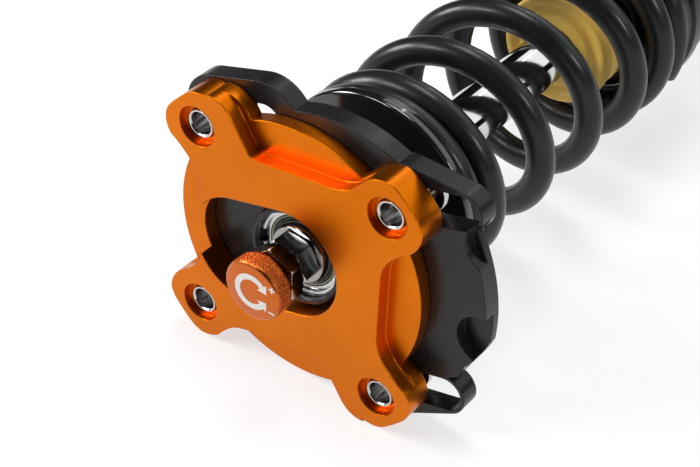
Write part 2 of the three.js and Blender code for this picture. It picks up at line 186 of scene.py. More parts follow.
def prism(outline, z0, z1):
    """A bmesh of a flat outline raised from z0 to z1."""
    bm = bmesh.new()
    low = [bm.verts.new((x, y, z0)) for x, y in outline]
    high = [bm.verts.new((x, y, z1)) for x, y in outline]
    bm.faces.new(list(reversed(low)))
    bm.faces.new(high)
    for i in range(len(outline)):
        n = (i + 1) % len(outline)
        bm.faces.new((low[i], low[n], high[n], high[i]))
    bmesh.ops.recalc_face_normals(bm, faces=bm.faces)
    return bm


def arc(x, y, r, start, end, steps):
    angles = [start + (end - start) * i / steps for i in range(steps + 1)]
    return [(x + r * math.cos(angle), y + r * math.sin(angle)) for angle in angles]


def circle(x, y, r, facets=72):
    return arc(x, y, r, 0, 2 * math.pi, facets)[:-1]


def belt(x0, y0, r0, x1, y1, r1, steps=28):
    """The outline round two circles, as a belt round two pulleys."""
    along = math.atan2(y1 - y0, x1 - x0)
    lean = math.acos((r0 - r1) / math.hypot(x1 - x0, y1 - y0))
    first = arc(x0, y0, r0, along + lean, along - lean + 2 * math.pi, steps)
    second = arc(x1, y1, r1, along - lean, along + lean, steps)
    return first + second


def curved(start, *parts, steps=10):
    """An outline of straight parts (x, y) and curves (control x, control y, x, y)."""
    made = [start]
    for part in parts:
        if len(part) == 2:
            made.append(part)
            continue
        a, c, e = Vector(made[-1]), Vector(part[:2]), Vector(part[2:])
        for i in range(1, steps + 1):
            t = i / steps
            point = a * (1 - t) ** 2 + c * 2 * t * (1 - t) + e * t * t
            made.append((point.x, point.y))
    return made


def loose(bm):
    """An unfinished object from a bmesh, for a modifier to work on."""
    mesh = bpy.data.meshes.new("cutter")
    bm.to_mesh(mesh)
    bm.free()
    tool = bpy.data.objects.new("cutter", mesh)
    bpy.context.scene.collection.objects.link(tool)
    return tool


def carved(base, *jobs, weld=0.01):
    """base joined with, cut by or kept inside other bmeshes. A job is (operation, [bmesh, ...]).

    Points within weld of each other become one and flat regions become one face, unless weld is None.
    """
    body = loose(base)
    for operation, others in jobs:
        for other in others:
            tool = loose(other)
            step = body.modifiers.new("step", "BOOLEAN")
            step.operation, step.object, step.solver = operation, tool, "EXACT"
            mesh = evaluated(body)
            body.modifiers.clear()
            body.data = mesh
            bpy.data.objects.remove(tool)
    bm = bmesh.new()
    bm.from_mesh(body.data)
    bpy.data.objects.remove(body)
    if weld is not None:
        bmesh.ops.remove_doubles(bm, verts=bm.verts, dist=weld)
        bmesh.ops.dissolve_limit(bm, angle_limit=math.radians(0.5), verts=bm.verts, edges=bm.edges)
    return bm


def softened(bm, outer, inner, angle=34):
    """The bmesh with its convex edges past an angle rounded by outer and its concave ones by inner."""
    weight = bm.edges.layers.float.new("bevel_weight_edge")
    widest = max(outer, inner)
    edges = [e for e in bm.edges if len(e.link_faces) == 2 and e.calc_face_angle(0) > math.radians(angle)]
    for edge in edges:
        edge[weight] = (outer if edge.is_convex else inner) / widest
    body = loose(bm)
    bevel = body.modifiers.new("bevel", "BEVEL")
    bevel.width, bevel.segments, bevel.limit_method = widest, 2, "WEIGHT"
    bevel.use_clamp_overlap = True
    bevel.miter_outer = "MITER_ARC"
    mesh = evaluated(body)
    bpy.data.objects.remove(body)
    made = bmesh.new()
    made.from_mesh(mesh)
    return made


def fitted(piece, body, slot, *nodes):
    """The piece rides on its body, stands for its CAD nodes and takes its finish from a slot."""
    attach(piece, body)
    if nodes:
        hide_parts(*nodes)
    piece.data.materials.clear()
    piece.data.materials.append(MATERIALS[slot]())
    return piece


# ---------------------------------------------------------------- materials
class Nodes:
    """A short way to write a material's node tree."""

    def __init__(self, name):
        self.material = bpy.data.materials.new(name + "_look")
        self.material.use_nodes = True
        self.tree = self.material.node_tree
        self.shader = self.tree.nodes["Principled BSDF"]
        self.place = self.tree.nodes.new("ShaderNodeTexCoord").outputs["Object"]

    def add(self, kind, inputs=(), **settings):
        node = self.tree.nodes.new(kind)
        for key, value in settings.items():
            setattr(node, key, value)
        for key, value in dict(inputs).items():
            if isinstance(value, bpy.types.NodeSocket):
                self.tree.links.new(value, node.inputs[key])
            else:
                node.inputs[key].default_value = value
        return node

    def noise(self, scale, detail=2, rough=0.5, stretch=None):
        place = self.place
        if stretch:
            place = self.add("ShaderNodeMapping", {"Vector": place, "Scale": stretch}).outputs["Vector"]
        inputs = {"Vector": place, "Scale": scale, "Detail": detail, "Roughness": rough}
        return self.add("ShaderNodeTexNoise", inputs).outputs["Fac"]

    def ramp(self, value, low, high, start=0.3, end=0.7):
        node = self.add("ShaderNodeMapRange", {"Value": value, "From Min": start, "From Max": end})
        node.inputs["To Min"].default_value = low
        node.inputs["To Max"].default_value = high
        return node.outputs["Result"]

    def mix(self, factor, a, b):
        node = self.add("ShaderNodeMix", data_type="RGBA")
        for socket, value in ((node.inputs[0], factor), (node.inputs[6], a), (node.inputs[7], b)):
            if isinstance(value, bpy.types.NodeSocket):
                self.tree.links.new(value, socket)
            else:
                socket.default_value = value
        return node.outputs[2]

    def bump(self, *layers, edges=0):
        """Bumps of (height, strength, distance in mm) in turn, over edges rounded by a radius in mm."""
        normal = None
        if edges:
            normal = self.add("ShaderNodeBevel", {"Radius": edges * MM}, samples=6).outputs["Normal"]
        for height, strength, distance in layers:
            inputs = {"Height": height, "Strength": strength, "Distance": distance * MM}
            if normal:
                inputs["Normal"] = normal
            normal = self.add("ShaderNodeBump", inputs).outputs["Normal"]
        self.tree.links.new(normal, self.shader.inputs["Normal"])

    def set(self, **values):
        for key, value in values.items():
            socket = self.shader.inputs[key.replace("_", " ")]
            if isinstance(value, bpy.types.NodeSocket):
                self.tree.links.new(value, socket)
            else:
                socket.default_value = value
        return self.material


def rgb(r, g, b):
    return (r, g, b, 1)


def anodised(name, deep, bright, low, high):
    """Dyed anodic film over bead-blasted, machined aluminium."""
    n = Nodes(name)
    cloud = n.noise(45, 3)
    fine = n.noise(5200, 2, 0.6)
    colour = n.mix(n.ramp(cloud, 0, 1), deep, bright)
    n.bump((fine, 0.02, 0.05), (n.noise(160, 2), 0.03, 0.3), edges=0.8)
    return n.set(Base_Color=colour, Metallic=1.0, Roughness=n.ramp(n.noise(900, 3), low, high))


def orange_anodised():
    return anodised("orange_anodised", rgb(0.60, 0.138, 0.0010), rgb(0.66, 0.158, 0.0016), 0.30, 0.37)


def red_anodised():
    return anodised("red_anodised", rgb(0.52, 0.118, 0.022), rgb(0.58, 0.138, 0.028), 0.24, 0.32)


def black_anodised():
    n = Nodes("black_anodised")
    colour = n.mix(n.ramp(n.noise(60, 3), 0, 1), rgb(0.009, 0.009, 0.0095), rgb(0.014, 0.014, 0.015))
    n.bump((n.noise(4200, 2, 0.6), 0.04, 0.05), (n.noise(200, 2), 0.03, 0.3), edges=0.7)
    n.set(Specular_IOR_Level=0.27)
    return n.set(Base_Color=colour, Metallic=0.0, Roughness=n.ramp(n.noise(700, 3), 0.24, 0.33))


def gloss_black():
    n = Nodes("gloss_black")
    colour = n.mix(n.ramp(n.noise(80, 2), 0, 1), rgb(0.006, 0.006, 0.007), rgb(0.010, 0.010, 0.011))
    n.bump((n.noise(350, 2), 0.04, 0.1),)
    n.set(Coat_Weight=0.6, Coat_Roughness=0.06)
    return n.set(Base_Color=colour, Metallic=0.0, Roughness=n.ramp(n.noise(1200, 3), 0.10, 0.18))


def black_steel():
    n = Nodes("black_steel")
    colour = n.mix(n.ramp(n.noise(70, 3), 0, 1), rgb(0.016, 0.016, 0.017), rgb(0.026, 0.026, 0.028))
    n.bump((n.noise(1900, 3, 0.6), 0.22, 0.08), (n.noise(500, 2), 0.10, 0.2), edges=0.8)
    n.set(Coat_Weight=0.15, Coat_Roughness=0.2)
    return n.set(Base_Color=colour, Metallic=0.0, Roughness=n.ramp(n.noise(800, 2), 0.36, 0.5))


def spring_steel():
    """Graphite metallic powder coat over shot-peened wire."""
    n = Nodes("spring_steel")
    flake = n.add("ShaderNodeTexVoronoi", {"Vector": n.place, "Scale": 5200}).outputs["Distance"]
    speckle = n.ramp(flake, 1, 0, 0.05, 0.35)
    base = n.mix(n.ramp(n.noise(120, 3), 0, 1), rgb(0.009, 0.0093, 0.010), rgb(0.016, 0.0165, 0.018))
    colour = n.mix(speckle, base, rgb(0.055, 0.056, 0.06))
    n.bump((n.noise(2100, 3, 0.65), 0.16, 0.08), (n.noise(420, 2), 0.10, 0.25))
    n.set(Coat_Weight=0.12, Coat_Roughness=0.12, Specular_IOR_Level=0.3)
    return n.set(Base_Color=colour, Metallic=0.3, Roughness=n.ramp(n.noise(1500, 3), 0.32, 0.4))


def metal(name, colour, low, high, grain=0.03):
    """Bare turned or ground metal, with fine tool marks round the strut's axis."""
    n = Nodes(name)
    tone = n.mix(n.ramp(n.noise(90, 3), 0, 1), [c * 0.93 for c in colour[:3]] + [1], colour)
    marks = n.add("ShaderNodeTexWave", {"Vector": n.place, "Scale": 2400, "Distortion": 1.5, "Detail": 2},
                  bands_direction="Y").outputs["Fac"]
    n.bump((marks, grain, 0.02), (n.noise(1500, 2, 0.5, stretch=(1, 0.03, 1)), grain, 0.05))
    return n.set(Base_Color=tone, Metallic=1.0, Roughness=n.ramp(n.noise(700, 3), low, high))


def bright_steel():
    return metal("bright_steel", rgb(0.56, 0.555, 0.55), 0.14, 0.24)


def dark_chrome():
    return metal("dark_chrome", rgb(0.33, 0.32, 0.31), 0.08, 0.16, 0.015)


def hard_chrome():
    return metal("hard_chrome", rgb(0.62, 0.63, 0.65), 0.05, 0.09, 0.008)


def bronze():
    return metal("bronze", rgb(0.50, 0.33, 0.14), 0.24, 0.36, 0.05)


def black_oxide():
    return metal("black_oxide", rgb(0.03, 0.03, 0.033), 0.3, 0.42, 0.05)


def liner_fabric():
    n = Nodes("liner_fabric")
    weave = n.add("ShaderNodeTexWave", {"Vector": n.place, "Scale": 1600, "Distortion": 2},
                  bands_direction="DIAGONAL")
    colour = n.mix(n.ramp(n.noise(300, 3), 0, 1), rgb(0.36, 0.42, 0.27), rgb(0.50, 0.55, 0.40))
    n.bump((weave.outputs["Fac"], 0.4, 0.08),)
    return n.set(Base_Color=colour, Metallic=0.0, Roughness=n.ramp(n.noise(800), 0.5, 0.7))


def bump_foam():
    """Microcellular polyurethane with a thin moulded skin."""
    n = Nodes("bump_foam")
    cells = n.add("ShaderNodeTexVoronoi", {"Vector": n.place, "Scale": 2600}).outputs["Distance"]
    colour = n.mix(n.ramp(n.noise(110, 3), 0, 1), rgb(0.70, 0.44, 0.066), rgb(0.78, 0.51, 0.095))
    # Painted shade: the cells' centres, where the bump makes pits, are darkened towards a shaded copy of the
    # yellow.
    pit_shade = n.mix(n.ramp(cells, 0.5, 0, 0.0, 0.3), colour, rgb(0.24, 0.13, 0.03))
    n.bump((cells, 0.35, 0.12), (n.noise(260, 3), 0.12, 0.4))
    n.set(Subsurface_Weight=0.08, Subsurface_Scale=0.002, Sheen_Weight=0.1)
    return n.set(Base_Color=pit_shade, Metallic=0.0, Roughness=n.ramp(n.noise(900, 2), 0.42, 0.6))


def black_rubber():
    n = Nodes("black_rubber")
    colour = n.mix(n.ramp(n.noise(200, 3), 0, 1), rgb(0.012, 0.012, 0.012), rgb(0.02, 0.02, 0.02))
    n.bump((n.noise(1500, 3), 0.2, 0.08),)
    return n.set(Base_Color=colour, Metallic=0.0, Roughness=n.ramp(n.noise(700), 0.6, 0.8))


def white_print():
    """Pad-printed ink, thin enough to show the metal's grain."""
    n = Nodes("white_print")
    colour = n.mix(n.ramp(n.noise(900, 4), 0, 1, 0.25, 0.75), rgb(0.66, 0.63, 0.60), rgb(0.80, 0.78, 0.75))
    n.bump((n.noise(3200, 2), 0.15, 0.03),)
    return n.set(Base_Color=colour, Metallic=0.0, Roughness=n.ramp(n.noise(900), 0.4, 0.55))


MATERIALS = {
    made.__name__: functools.cache(made)
    for made in (
        orange_anodised, red_anodised, black_anodised, gloss_black, black_steel, spring_steel, bright_steel,
        dark_chrome, hard_chrome, bronze, black_oxide, liner_fabric, bump_foam, black_rubber,
    )
}


# ---------------------------------------------------------------- top plate and its bushes
def reliefs():
    """What is milled away above the ledges, on four sides of the plate."""
    top = curved((-44, 62), (-36, 58.2), (-29.5, 57.5, -26.5, 52.5), (-19.6, 42), (-18, 39, -14.5, 39.3),
                 (11, 42.7), (21, 42.8, 26.5, 46.5), (32, 50.5, 38, 61))
    side = curved((62, 36), (53, 31.2), (41.2, 23.5, 41.2, 14), (41, -14), (41, -22.5, 52, -31.2), (62, -38))
    for outline in (top, side):
        for turn in (1, -1):
            yield prism([(turn * x, turn * y) for x, y in outline], LEDGE_T - PLATE_T, 3)


def trim():
    """The circle that ends the lobes, eased into their round sides."""
    facets, clearance = 480, 3
    reach, blend = math.hypot(BOLT_X, BOLT_Y), 10.5
    diagonal = math.atan2(BOLT_Y, BOLT_X)
    far, near = LOBE_TRIM_R - blend, LOBE_R - blend
    along = (far * far - near * near + reach * reach) / (2 * reach)
    centre = Vector((along, math.sqrt(far * far - along * along)))
    first = math.atan2(centre.y, centre.x)
    meet = Vector((reach, 0)) + (centre - Vector((reach, 0))).normalized() * LOBE_R
    last = math.atan2(meet.y, meet.x)
    outline = []
    for k in range(facets):
        angle = 2 * math.pi * k / facets
        off = min(abs((angle - lobe + math.pi) % (2 * math.pi) - math.pi)
                  for lobe in (diagonal, math.pi - diagonal, math.pi + diagonal, -diagonal))
        radius = LOBE_TRIM_R if off < first else LOBE_TRIM_R + clearance
        if first <= off <= last:
            ahead = centre.x * math.cos(off) + centre.y * math.sin(off)
            radius = ahead + math.sqrt(ahead * ahead - centre.length_squared + blend * blend)
        outline.append((radius * math.cos(angle), radius * math.sin(angle)))
    return prism(outline, -PLATE_T - 1, 1)


def top_plate():
    w, h, r = BOLT_X, BOLT_Y, LOBE_R
    lobes = [
        prism(belt(*ends), -PLATE_T, 0)
        for ends in (
            (-w, h, r, -w + 8.5, h + 2.6, r - 2),
            (w, h, r - 0.4, 20, 20, r),
            (-w, -h, r - 0.4, -20, -20, r),
            (w, -h, r, w - 8.5, -h - 2.6, r - 2),
        )
    ]
    holes = []
    for x, y in CORNERS:
        holes.append(prism(circle(x, y, RECESS_R), -RECESS_DEPTH, 3))
        holes.append(prism(circle(x, y, BUSH_R + GAP, 48), -PLATE_T - 3, 3))
    slot = prism(belt(*CAMBER, SLOT_R, 0, 0, SLOT_R, 40), -PLATE_T - 3, 3)
    bm = carved(
        prism(circle(0, 0, RIM_R, 160), -PLATE_T, 0),
        ("UNION", lobes),
        ("INTERSECT", [trim()]),
        ("DIFFERENCE", [*reliefs(), slot, *holes]),
        weld=0.05,
    )
    return finished("top_plate_fine", bm)


def clamp_bush(i, x, y):
    foot = LOWER_BACK - GAP
    piece = turned(
        f"clamp_bush_{i}_fine",
        [
            (BUSH_BORE_R, -BUSH_SINK - 0.6), (BUSH_BORE_R + 0.5, -BUSH_SINK), (BUSH_R, -BUSH_SINK, 0.4),
            (BUSH_R, foot), (BUSH_FLANGE_R, foot), (BUSH_FLANGE_R, foot - 3, 0.6),
            (BUSH_BORE_R, foot - 3, 0.6),
        ],
        facets=72,
    )
    piece.data.transform(STRUT @ Matrix.Translation((x, y, 0)) @ STRUT.inverted())
    return piece


fitted(top_plate(), "top_plate", "orange_anodised", "top_plate")
for i, corner in enumerate(CORNERS, 1):
    fitted(clamp_bush(i, *corner), "top_plate", "bright_steel", f"clamp_bush_{i}")


# ---------------------------------------------------------------- bearing plate and the spherical bearing
def bearing_plate():
    ears, slots = [], []
    for x, y in CORNERS:
        end = (x - CAMBER[0], y - CAMBER[1])
        ears.append(prism(belt(x, y, 14.9, *end, 8.6 if x > 0 else 16.2), LOWER_BACK, LOWER_Z))
        slots.append(prism(belt(x, y, 7.1, *end, 7.1), LOWER_BACK - 5, 5))
    rim = arc(0, 0, 78.7, -math.asin(7 / 78.7), math.asin(40 / 78.7), 60)
    side = prism([(30, -7), *rim, (30, 40)], LOWER_BACK, LOWER_Z)
    hip_outline = curved((60, 0), (78.4, -6), (76.6, -13.5, 71.2, -19.5), (69.4, -25), (60, -31))
    hip = prism(hip_outline, LOWER_BACK, LOWER_Z)
    boss_back = LOWER_BACK - 3.4
    boss = revolve([(0, boss_back), (HOUSING_R, boss_back), (HOUSING_R, -5.5), (HOUSING_R - 1, -4.5),
                    (0, -4.5)], 128)
    notches = [prism(circle(77.5, y, 10.5, 64), LOWER_Z - 5, 5) for y in (37.3, -3.5)]
    fit, groove, lip = RACE_R + GAP, RACE_R + 1.3, RACE_R - 1.4
    seat_z = BALL_Z - RACE_HALF - GAP
    bore = revolve([(0, 5), (fit, 5), (fit, -7.4), (groove, -7.4), (groove, -9), (fit, -9), (fit, seat_z),
                    (lip, seat_z), (lip, -40), (0, -40)], 128)
    bm = carved(
        prism(circle(13, 1.8, 59.6, 160), LOWER_BACK, LOWER_Z),
        ("UNION", [*ears, side, hip, boss]),
        ("DIFFERENCE", [*slots, *notches, bore]),
        weld=0.05,
    )
    return finished("bearing_plate_fine", bm)


def sphere_arc(sphere, start, end, steps=14):
    heights = [start + (end - start) * i / steps for i in range(steps + 1)]
    return [(math.sqrt(sphere * sphere - z * z), BALL_Z + z) for z in heights]


def bearing_parts():
    reach = RACE_HALF - 0.1
    race = [(RACE_R, BALL_Z + RACE_HALF)] + sphere_arc(LINER_R + GAP, RACE_HALF, -RACE_HALF)
    race += [(RACE_R, BALL_Z - RACE_HALF)]
    liner = sphere_arc(LINER_R, reach, -reach) + sphere_arc(BALL_R + GAP, -reach, reach)
    ball = [(JOURNAL_R + GAP, BALL_Z + BALL_HALF)] + sphere_arc(BALL_R, BALL_HALF, -BALL_HALF, 28)
    ball += [(JOURNAL_R + GAP, BALL_Z - BALL_HALF)]
    fitted(turned("bearing_race_fine", race, 0.3, 128), "bearing_plate", "bright_steel", "bearing_race")
    fitted(turned("bearing_liner_fine", liner, 0.1, 128), "liner", "liner_fabric", "bearing_liner")
    # The ball wears dark chrome as painted shade, for the shadow that the nut and the bearing plate cast
    # over it.
    fitted(turned("bearing_ball_fine", ball, 0.35, 128), "ball", "dark_chrome", "bearing_ball")


def retaining_ring():
    inner, outer = RACE_R - 1.6, RACE_R + 1.1
    hoop = revolve([(inner, -8.85), (outer, -8.85), (outer, -7.55), (inner, -7.55)], 128)
    gap = prism([(-30, -3), (0, -3), (0, 3), (-30, 3)], -12, 0)
    return finished("retaining_ring_fine", softened(carved(hoop, ("DIFFERENCE", [gap])), 0.2, 0.1))


fitted(bearing_plate(), "bearing_plate", "black_anodised", "bearing_plate")
bearing_parts()
fitted(retaining_ring(), "bearing_plate", "bright_steel", "retaining_ring")


# ---------------------------------------------------------------- rod, its fastening and the perch
def piston_rod():
    return turned("piston_rod_fine", [
        (ROD_BORE_R, 12.3, 0.4), (STUD_R, 12.3, 0.8), (STUD_R, 3.35), (JOURNAL_R, 3.35),
        (JOURNAL_R, SHOULDER_Z), (ROD_R, SHOULDER_Z, 0.8), (ROD_R, -261.7, 0.8), (STUD_R, -261.7),
        (STUD_R, -298, 0.6), (ROD_BORE_R, -298),
    ], facets=128)


def hexagon(name, width, bore, z0, z1, turn):
    """A nut's six flats with both ends chamfered to a cone, bored through."""
    corner = width / math.sqrt(3)
    rise = (corner - width / 2) * math.tan(math.radians(32))
    edge = width / 2 - 0.3
    levels = [z0 + rise * i / 6 for i in range(7)] + [z1 - rise * (6 - i) / 6 for i in range(7)]
    rows = [(bore + 0.5, z0), (edge, z0)] + [(corner, z) for z in levels]
    rows += [(edge, z1), (bore + 0.5, z1), (bore, z1 - 0.5), (bore, z0 + 0.5)]

    def radius(r, z, angle):
        if r < edge + 0.01:
            return r
        step = math.pi / 3
        off = (angle - math.radians(turn) + step / 2) % step - step / 2
        flat = width / 2 / math.cos(off)
        soft = min(flat, corner * 0.985)
        cone = edge + (min(z - z0, z1 - z) / rise) * (corner - edge)
        return min(soft, cone)

    return finished(name, revolve(rows, 180, radius), 24)


def upper_perch():
    return turned("upper_perch_fine", [
        (JOURNAL_R + GAP, -33.3), (14.5, -33.3, 0.8), (16, -34.5), (18, -41, 5), (24, -46.5, 6),
        (34, -50.4, 6), (41.5, -52.2, 1.5), (44.5, -52.8, 2.2), (44.5, SPRING_TOP + GAP, 0.6),
        (31.3, SPRING_TOP + GAP, 0.4),
        (31.3, -66, 1), (27.5, -67, 1), (27.5, -60, 1), (15.5, -56, 1), (15.5, SHOULDER_Z + GAP, 0.4),
        (JOURNAL_R + GAP, SHOULDER_Z + GAP),
    ], facets=144, steps=8)


def bump_striker():
    return turned("bump_striker_fine", [
        (ROD_R + GAP, -60.3), (19, -60.3), (21, -62), (21, -88, 1.2), (19, -90, 1.2), (ROD_R + GAP, -90, 1),
    ], facets=128)


def lower_spacer():
    bore, top = JOURNAL_R + GAP, BALL_Z - BALL_HALF - GAP
    return turned("lower_spacer_fine", [(bore, -33), (11.6, -33), (11.6, top), (bore, top)])


fitted(piston_rod(), "rod", "hard_chrome", "piston_rod")
fitted(hexagon("top_nut_fine", 21, STUD_R + GAP, 3.7, 10.6, 5), "rod", "dark_chrome", "top_nut")
fitted(hexagon("upper_collar_fine", 19, JOURNAL_R + GAP, -5.7, 3.4, 25), "rod", "bright_steel",
       "upper_collar")
fitted(upper_perch(), "rod", "gloss_black", "upper_perch")
fitted(bump_striker(), "rod", "gloss_black", "bump_striker")
fitted(lower_spacer(), "rod", "bright_steel", "lower_spacer")


# ---------------------------------------------------------------- spring
def ease(value):
    t = max(0, min(1, value))
    return t * t * (3 - 2 * t)


def spring():
    """Round wire wound right-handed, closed at both ends and ground flat where it seats."""
    steps, sides = 468, 28
    bm = bmesh.new()
    rings = []
    z = SPRING_TOP
    for i in range(steps + 1):
        turn = SPRING_TURNS * i / steps
        angle = math.radians(SPRING_TIP - 360 * turn)
        opening = ease((turn - 1) / 0.7) * (1 - ease((turn - 4.57) / 0.6))
        pitch = CLOSED_PITCH + (SPRING_PITCH - CLOSED_PITCH) * opening
        slope = math.atan2(pitch, 2 * math.pi * COIL_R)
        ring = []
        for k in range(sides):
            around = 2 * math.pi * k / sides
            out, up = WIRE_R * math.cos(around), WIRE_R * math.sin(around)
            lean = up * math.sin(slope)
            x = (COIL_R + out) * math.cos(angle) - lean * math.sin(angle)
            y = (COIL_R + out) * math.sin(angle) + lean * math.cos(angle)
            height = max(SPRING_FOOT, min(SPRING_TOP, z + up * math.cos(slope)))
            ring.append(bm.verts.new((x, y, height)))
        rings.append(ring)
        z -= pitch * SPRING_TURNS / steps
    for one, two in zip(rings, rings[1:]):
        for k in range(sides):
            n = (k + 1) % sides
            bm.faces.new((one[k], one[n], two[n], two[k]))
    bm.faces.new(rings[0])
    bm.faces.new(rings[-1])
    return finished("spring_fine", bm, 40)


coil = fitted(spring(), "rod", "spring_steel", "spring")
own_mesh(coil)


# ---------------------------------------------------------------- adjuster
def knurl(angle, z):
    """A diamond knurl's relief, from 0 in the grooves to 1 on the points."""
    def near(value):
        return abs(value - math.floor(value) - 0.5) * 2

    along, up = angle * KNURL_DIAMONDS / (2 * math.pi), z / KNURL_HEIGHT
    return min(1, 1.9 * min(near(along + up), near(along - up)))


def screw_place():
    """Turns a shape drawn along z to lie along the set screw's radius in the knob."""
    turn = Matrix.Rotation(math.radians(SCREW_ANGLE), 4, "Z") @ Matrix.Rotation(math.pi / 2, 4, "Y")
    return Matrix.Translation((0, 0, SCREW_Z)) @ turn


def rebound_knob():
    front = KNOB_FACE - 0.1
    low, high = KNOB_BACK + 0.7, front - 1.1
    bands = 44
    rows = [(SHAFT_R + GAP, 19), (SHAFT_R + GAP, KNOB_BACK + 0.3), (SHAFT_R + GAP + 0.3, KNOB_BACK)]
    rows += [(KNOB_R - 0.7, KNOB_BACK), (KNOB_R - 0.35, KNOB_BACK + 0.3)]
    rows += [(KNOB_R, low + (high - low) * i / bands) for i in range(bands + 1)]
    rows += [(KNOB_R - 0.45, front - 0.75), (KNOB_R - 0.8, front - 0.35), (KNOB_R - 1.2, front - 0.1)]
    rows += [(KNOB_R - 1.5, front), (0, front), (0, 19)]

    def radius(r, z, angle):
        if r < KNOB_R - 1e-6:
            return r
        fade = min(1, (z - low) / 0.4, (high - z) / 0.4)
        relief = 1 - fade + fade * knurl(angle, z)
        return KNOB_R - KNURL_DEPTH + KNURL_DEPTH * relief * (0.2 + 0.8 * fade)

    hole = prism(circle(0, 0, 1.8, 32), 6, 20)
    hole.transform(screw_place())
    bm = carved(revolve(rows, 480, radius), ("DIFFERENCE", [hole]), weld=None)
    return finished("rebound_knob_fine", bm, 28)


def set_screw():
    """A socket set screw's outer end, in its hole in the knob's rim."""
    rows = [(0, 3), (1.5, 3), (1.5, 11.7), (1.2, 12.1), (SCREW_SOCKET_R, 12.1), (SCREW_SOCKET_R, 10.6),
            (0, 10.6)]

    def radius(r, _z, angle):
        if abs(r - SCREW_SOCKET_R) > 1e-6:
            return r
        step = math.pi / 3
        return SCREW_SOCKET_R / math.cos((angle + step / 2) % step - step / 2)

    bm = revolve(rows, 48, radius)
    bm.transform(screw_place())
    return finished("knob_set_screw_fine", bm)


def knob_marks():
    """A generic print: a curved double arrow between a plus and a minus."""
    bm = bmesh.new()
    base, top = KNOB_FACE - 0.1, KNOB_FACE - 0.04

    def add(outline):
        part = prism(outline, base, top)
        mesh = bpy.data.meshes.new("mark")
        part.to_mesh(mesh)
        part.free()
        bm.from_mesh(mesh)
        bpy.data.meshes.remove(mesh)

    def bar(x, y, wide, tall):
        w, h = wide / 2, tall / 2
        add([(x - w, y - h), (x + w, y - h), (x + w, y + h), (x - w, y + h)])

    start, end = math.radians(42), math.radians(318)
    add(arc(0, 0, 7.6, start, end, 48) + arc(0, 0, 5.2, end, start, 48))
    for angle, way in ((start, -1), (end, 1)):
        along = Vector((math.cos(angle), math.sin(angle)))
        ahead = Vector((-math.sin(angle), math.cos(angle))) * way
        add([tuple(along * 9.2), tuple(along * 6.4 + ahead * 3.1), tuple(along * 3.6)])
    bar(9.3, 5.4, 2.6, 0.7)
    bar(9.3, 5.4 + 0.825, 0.7, 0.95)
    bar(9.3, 5.4 - 0.825, 0.7, 0.95)
    bar(9.3, -5.4, 2.6, 0.7)
    return finished("knob_marks", bm)


fitted(rebound_knob(), "knob", "red_anodised", "rebound_knob")
fitted(set_screw(), "knob", "black_oxide", "knob_set_screw")
marks = fitted(knob_marks(), "knob", "red_anodised")
marks.data.materials[0] = white_print()


# ---------------------------------------------------------------- bump stop, gland and damper body
def bump_stop():
    return turned("bump_stop_fine", [
        (ROD_R + GAP, -185.6, 0.5), (16.5, -186, 1), (18.5, -188, 1), (20.5, -188, 1), (22, -186.2, 1.4),
        (24.4, -186.2, 1.4), (25.6, -187.6, 1.2), (25.6, -191, 2), (23.2, -194.5, 2), (23.2, -197, 1.5),
        (24.6, -199.4, 1.5), (24.6, -203, 0.8), (ROD_R + GAP, -203),
    ], facets=144, steps=6)


def gland_nut():
    return turned("gland_nut_fine", [
        (ROD_R + GAP, -203.3), (22, -203.3, 1), (25, -206, 1), (25, -212), (BORE_R - GAP, -212),
        (BORE_R - GAP, -220), (15, -220), (15, -214.5), (ROD_R + GAP, -214.5),
    ], facets=128)


def body_tube():
    """The tube with its fine thread, cut as a true right-hand helix."""
    samples = 6
    first, last = TUBE_TOP - 3, THREAD_END
    count = int((first - last) / THREAD_PITCH * samples)
    rows = [(BORE_R, TUBE_TOP), (TUBE_R - 1.2, TUBE_TOP), (TUBE_R - 0.7, TUBE_TOP - 0.6)]
    rows += [(TUBE_R, first - (first - last) * i / count) for i in range(count + 1)]
    rows += [(TUBE_R - 0.01, last - 1), (TUBE_R - 0.01, TUBE_FOOT + 1), (TUBE_R - 1, TUBE_FOOT),
             (BORE_R, TUBE_FOOT)]

    def radius(r, z, angle):
        if r < TUBE_R - 1e-6:
            return r
        phase = (z / THREAD_PITCH - angle / (2 * math.pi)) % 1
        fade = min(1, (first - z) / 2 + 0.2, (z - last) / 2 + 0.2)
        return TUBE_R - THREAD_DEPTH * fade * min(1, 1.25 * abs(2 * phase - 1))

    return finished("body_tube_fine", revolve(rows, 96, radius), 60)


def foot_plug():
    """The tube's foot, with a pocket for the gas valve and two holes for a pin spanner."""
    rim = BORE_R - GAP
    section = rounded([(0, TUBE_FOOT), (rim, TUBE_FOOT, 0.5), (rim, -438), (0, -438)], 0.2)
    pocket = prism(circle(0, 0, 4, 48), TUBE_FOOT - 2, -443)
    pin_holes = [
        prism(circle(14 * math.cos(a), 14 * math.sin(a), 1.6, 24), TUBE_FOOT - 2, TUBE_FOOT + 3)
        for a in (0.6, 0.6 + math.pi)
    ]
    bm = carved(revolve(section, 96), ("DIFFERENCE", [pocket]), ("DIFFERENCE", pin_holes))
    return finished("foot_plug_fine", softened(bm, 0.3, 0.1), flat=True)


fitted(bump_stop(), "damper_body", "bump_foam", "bump_stop")
fitted(gland_nut(), "damper_body", "black_anodised", "gland_nut")
fitted(body_tube(), "damper_body", "black_steel", "body_tube")
fitted(foot_plug(), "damper_body", "bright_steel", "foot_plug")


# ---------------------------------------------------------------- spring seat and its rings
def lower_seat():
    return turned("lower_seat_fine", [
        (TUBE_R + 0.6, -216, 0.6), (30.5, -216, 1), (32, -218, 1), (32, SPRING_FOOT - GAP),
        (SEAT_R - 1, SPRING_FOOT - GAP), (SEAT_R, SPRING_FOOT - 1.3), (SEAT_R, -229, 0.8),
        (SEAT_R - 1.4, -230.4, 0.8), (SEAT_R - 1.4, -235, 0.8), (SEAT_R, -236.4, 0.8), (SEAT_R, -243),
        (SEAT_R - 1, -244), (TUBE_R + 0.6, -244, 0.6),
    ], facets=144)


